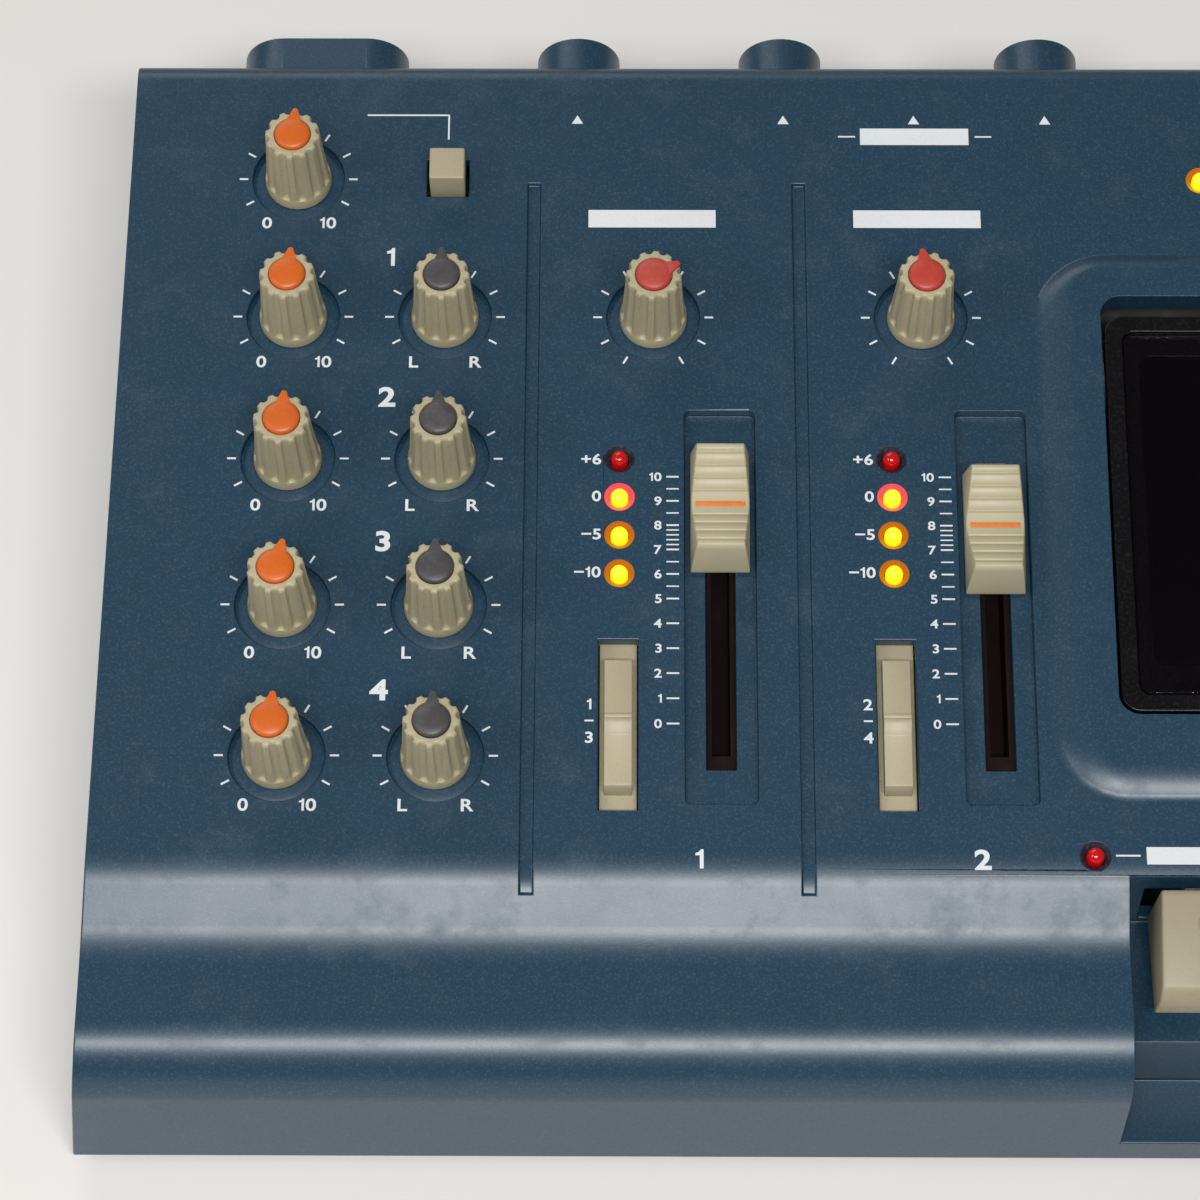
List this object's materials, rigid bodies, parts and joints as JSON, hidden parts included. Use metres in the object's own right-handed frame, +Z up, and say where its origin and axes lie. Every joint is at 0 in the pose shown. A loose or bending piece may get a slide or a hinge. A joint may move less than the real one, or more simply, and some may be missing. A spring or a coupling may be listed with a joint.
{
  "type": "four track cassette recorder",
  "caption": "Table-top four-track cassette recorder with a sloping mixer panel of knobs and faders, a hinged cassette lid, piano keys and rear sockets.",
  "frame": {"origin": "on the table plane under the feet, at the middle of the whole object's width and depth", "axes": "+X to the object's right seen from the front, +Y to the rear connectors, +Z up"},
  "size_m": [0.3086, 0.193, 0.0716],
  "materials": {
    "body": "fine sprayed speckle",
    "base": "moulded, fine grain",
    "beige": "moulded, satin",
    "knob": "moulded, satin",
    "cream": "moulded, satin",
    "charcoal": "moulded",
    "black": "polished",
    "window": "smoked, clear",
    "cassette": "moulded, printed label",
    "white_plastic": "moulded",
    "steel": "zinc plated",
    "brass": "turned",
    "rubber": "matt",
    "board": "glass fibre board",
    "red_lens": "diffused lens",
    "amber_lens": "diffused lens, lit"
  },
  "bodies": {
    "root": {"top_case": "body", "bottom_case": "base", "main_board": "board", "pot_bodies": "steel", "slide_pots": "steel", "switch_bodies": "charcoal", "jack_sockets": "charcoal", "phono_sockets": "steel", "dc_socket": "charcoal", "red_lamps": "red_lens", "amber_lamps": "amber_lens", "deck_chassis": "steel", "motor": "steel", "drive_belt": "rubber", "key_rod": "steel", "counter_frame": "charcoal", "feet": "rubber", "case_screws": "steel", "inner_screws": "steel"},
    "phones_knob": {"phones_knob": "knob"},
    "level_knob_1": {"level_knob_1": "knob"},
    "level_knob_2": {"level_knob_2": "knob"},
    "level_knob_3": {"level_knob_3": "knob"},
    "level_knob_4": {"level_knob_4": "knob"},
    "pan_knob_1": {"pan_knob_1": "knob"},
    "pan_knob_2": {"pan_knob_2": "knob"},
    "pan_knob_3": {"pan_knob_3": "knob"},
    "pan_knob_4": {"pan_knob_4": "knob"},
    "trim_knob_1": {"trim_knob_1": "knob"},
    "trim_knob_2": {"trim_knob_2": "knob"},
    "fader_cap_1": {"fader_cap_1": "cream"},
    "fader_cap_2": {"fader_cap_2": "cream"},
    "rec_switch_1": {"rec_switch_1": "beige"},
    "rec_switch_2": {"rec_switch_2": "beige"},
    "mono_button": {"mono_button": "beige"},
    "rec_key": {"rec_key": "beige"},
    "play_key": {"play_key": "beige"},
    "rewind_key": {"rewind_key": "beige"},
    "fast_forward_key": {"fast_forward_key": "beige"},
    "stop_eject_key": {"stop_eject_key": "beige"},
    "pause_key": {"pause_key": "beige"},
    "lid": {"lid_frame": "black", "lid_window": "window", "cassette_shell": "cassette"},
    "supply_spindle": {"supply_spindle": "charcoal"},
    "supply_hub": {"supply_hub": "white_plastic"},
    "take_up_spindle": {"take_up_spindle": "charcoal"},
    "take_up_hub": {"take_up_hub": "white_plastic"},
    "flywheel": {"flywheel": "brass"},
    "motor_pulley": {"motor_pulley": "brass"},
    "head_plate": {"head_plate": "steel", "tape_heads": "steel"},
    "pinch_roller": {"pinch_roller": "rubber"},
    "counter_wheel_1": {"counter_wheel_1": "charcoal"},
    "counter_wheel_2": {"counter_wheel_2": "charcoal"},
    "counter_wheel_3": {"counter_wheel_3": "charcoal"},
    "counter_reset": {"counter_reset": "charcoal"},
    "power_slider": {"power_slider": "charcoal"}
  },
  "joints": [
    {"name": "phones_knob_turn", "type": "hinge", "parent": "root", "child": "phones_knob", "pos_m": [-0.1195, 0.06475, 0.05503], "axis": [0, -0.0872, 0.9962], "range_deg": [-145, 155]},
    {"name": "level_knob_1_turn", "type": "hinge", "parent": "root", "child": "level_knob_1", "pos_m": [-0.1195, 0.0378, 0.05267], "axis": [0, -0.0872, 0.9962], "range_deg": [-143, 157]},
    {"name": "level_knob_2_turn", "type": "hinge", "parent": "root", "child": "level_knob_2", "pos_m": [-0.1195, 0.01085, 0.05031], "axis": [0, -0.0872, 0.9962], "range_deg": [-145, 155]},
    {"name": "level_knob_3_turn", "type": "hinge", "parent": "root", "child": "level_knob_3", "pos_m": [-0.1195, -0.0161, 0.04796], "axis": [0, -0.0872, 0.9962], "range_deg": [-136, 164]},
    {"name": "level_knob_4_turn", "type": "hinge", "parent": "root", "child": "level_knob_4", "pos_m": [-0.1195, -0.04304, 0.0456], "axis": [0, -0.0872, 0.9962], "range_deg": [-144, 156]},
    {"name": "pan_knob_1_turn", "type": "hinge", "parent": "root", "child": "pan_knob_1", "pos_m": [-0.0934, 0.0378, 0.05267], "axis": [0, -0.0872, 0.9962], "range_deg": [-150, 150]},
    {"name": "pan_knob_2_turn", "type": "hinge", "parent": "root", "child": "pan_knob_2", "pos_m": [-0.0934, 0.01085, 0.05031], "axis": [0, -0.0872, 0.9962], "range_deg": [-150, 150]},
    {"name": "pan_knob_3_turn", "type": "hinge", "parent": "root", "child": "pan_knob_3", "pos_m": [-0.0934, -0.0161, 0.04796], "axis": [0, -0.0872, 0.9962], "range_deg": [-150, 150]},
    {"name": "pan_knob_4_turn", "type": "hinge", "parent": "root", "child": "pan_knob_4", "pos_m": [-0.0934, -0.04304, 0.0456], "axis": [0, -0.0872, 0.9962], "range_deg": [-147, 153]},
    {"name": "trim_knob_1_turn", "type": "hinge", "parent": "root", "child": "trim_knob_1", "pos_m": [-0.0576, 0.0378, 0.05267], "axis": [0, -0.0872, 0.9962], "range_deg": [-85, 215]},
    {"name": "trim_knob_2_turn", "type": "hinge", "parent": "root", "child": "trim_knob_2", "pos_m": [-0.0116, 0.0378, 0.05267], "axis": [0, -0.0872, 0.9962], "range_deg": [-158, 142]},
    {"name": "fader_1_slide", "type": "slide", "parent": "root", "child": "fader_cap_1", "axis": [0, 0.9962, 0.0872], "range_m": [-0.0387, 0.0063]},
    {"name": "fader_2_slide", "type": "slide", "parent": "root", "child": "fader_cap_2", "axis": [0, 0.9962, 0.0872], "range_m": [-0.03488, 0.01013]},
    {"name": "rec_switch_1_slide", "type": "slide", "parent": "root", "child": "rec_switch_1", "axis": [0, 0.9962, 0.0872], "range_m": [-0.003, 0.003]},
    {"name": "rec_switch_2_slide", "type": "slide", "parent": "root", "child": "rec_switch_2", "axis": [0, 0.9962, 0.0872], "range_m": [-0.003, 0.003]},
    {"name": "mono_button_press", "type": "slide", "parent": "root", "child": "mono_button", "axis": [0, -0.0872, 0.9962], "range_m": [-0.003, 0], "stiffness_N_per_m": 300},
    {"name": "rec_key_press", "type": "hinge", "parent": "root", "child": "rec_key", "pos_m": [0, -0.05047, 0.033], "axis": [1, 0, 0], "range_deg": [0, 7]},
    {"name": "play_key_press", "type": "hinge", "parent": "root", "child": "play_key", "pos_m": [0, -0.05047, 0.033], "axis": [1, 0, 0], "range_deg": [0, 7]},
    {"name": "rewind_key_press", "type": "hinge", "parent": "root", "child": "rewind_key", "pos_m": [0, -0.05047, 0.033], "axis": [1, 0, 0], "range_deg": [0, 7]},
    {"name": "fast_forward_key_press", "type": "hinge", "parent": "root", "child": "fast_forward_key", "pos_m": [0, -0.05047, 0.033], "axis": [1, 0, 0], "range_deg": [0, 7]},
    {"name": "stop_eject_key_press", "type": "hinge", "parent": "root", "child": "stop_eject_key", "pos_m": [0, -0.05047, 0.033], "axis": [1, 0, 0], "range_deg": [0, 7]},
    {"name": "pause_key_press", "type": "hinge", "parent": "root", "child": "pause_key", "pos_m": [0, -0.05047, 0.033], "axis": [1, 0, 0], "range_deg": [0, 7]},
    {"name": "lid_open", "type": "hinge", "parent": "root", "child": "lid", "pos_m": [0.0758, 0.03489, 0.04981], "axis": [-1, 0, 0], "range_deg": [0, 65]},
    {"name": "supply_turn", "type": "hinge", "parent": "root", "child": "supply_spindle", "pos_m": [0.05455, 0.00537, 0.04984], "axis": [0, -0.0872, 0.9962], "continuous": true},
    {"name": "supply_hub_turn", "type": "hinge", "parent": "lid", "child": "supply_hub", "pos_m": [0.05455, 0.00537, 0.04984], "axis": [0, -0.0872, 0.9962], "continuous": true},
    {"name": "take_up_turn", "type": "hinge", "parent": "root", "child": "take_up_spindle", "pos_m": [0.09705, 0.00537, 0.04984], "axis": [0, -0.0872, 0.9962], "continuous": true},
    {"name": "take_up_hub_turn", "type": "hinge", "parent": "lid", "child": "take_up_hub", "pos_m": [0.09705, 0.00537, 0.04984], "axis": [0, -0.0872, 0.9962], "continuous": true},
    {"name": "flywheel_turn", "type": "hinge", "parent": "root", "child": "flywheel", "pos_m": [0.1018, -0.02312, 0.04734], "axis": [0, -0.0872, 0.9962], "continuous": true},
    {"name": "motor_pulley_turn", "type": "hinge", "parent": "root", "child": "motor_pulley", "pos_m": [0.0478, 0.02325, 0.02911], "axis": [0, -0.0872, 0.9962], "continuous": true},
    {"name": "head_plate_slide", "type": "slide", "parent": "root", "child": "head_plate", "axis": [0, 0.9962, 0.0872], "range_m": [0, 0.005]},
    {"name": "pinch_roller_turn", "type": "hinge", "parent": "head_plate", "child": "pinch_roller", "pos_m": [0.1018, -0.0342, 0.03292], "axis": [0, -0.0872, 0.9962], "continuous": true},
    {"name": "counter_wheel_1_turn", "type": "hinge", "parent": "root", "child": "counter_wheel_1", "pos_m": [0.0808, 0.06278, 0.04532], "axis": [1, 0, 0], "continuous": true},
    {"name": "counter_wheel_2_turn", "type": "hinge", "parent": "root", "child": "counter_wheel_2", "pos_m": [0.0858, 0.06278, 0.04532], "axis": [1, 0, 0], "continuous": true},
    {"name": "counter_wheel_3_turn", "type": "hinge", "parent": "root", "child": "counter_wheel_3", "pos_m": [0.0908, 0.06278, 0.04532], "axis": [1, 0, 0], "continuous": true},
    {"name": "counter_reset_press", "type": "slide", "parent": "root", "child": "counter_reset", "axis": [0, -0.0872, 0.9962], "range_m": [-0.0015, 0], "stiffness_N_per_m": 300},
    {"name": "power_slide", "type": "slide", "parent": "root", "child": "power_slider", "axis": [1, 0, 0], "range_m": [-0.004, 0]}
  ],
  "couplings": [
    {"joint": "supply_hub_turn", "follows": "supply_turn", "ratio": 1},
    {"joint": "take_up_hub_turn", "follows": "take_up_turn", "ratio": 1},
    {"joint": "motor_pulley_turn", "follows": "flywheel_turn", "ratio": 5},
    {"joint": "pinch_roller_turn", "follows": "flywheel_turn", "ratio": -0.16667},
    {"joint": "counter_wheel_1_turn", "follows": "take_up_turn", "ratio": 0.005},
    {"joint": "counter_wheel_2_turn", "follows": "take_up_turn", "ratio": 0.05},
    {"joint": "counter_wheel_3_turn", "follows": "take_up_turn", "ratio": 0.5}
  ]
}
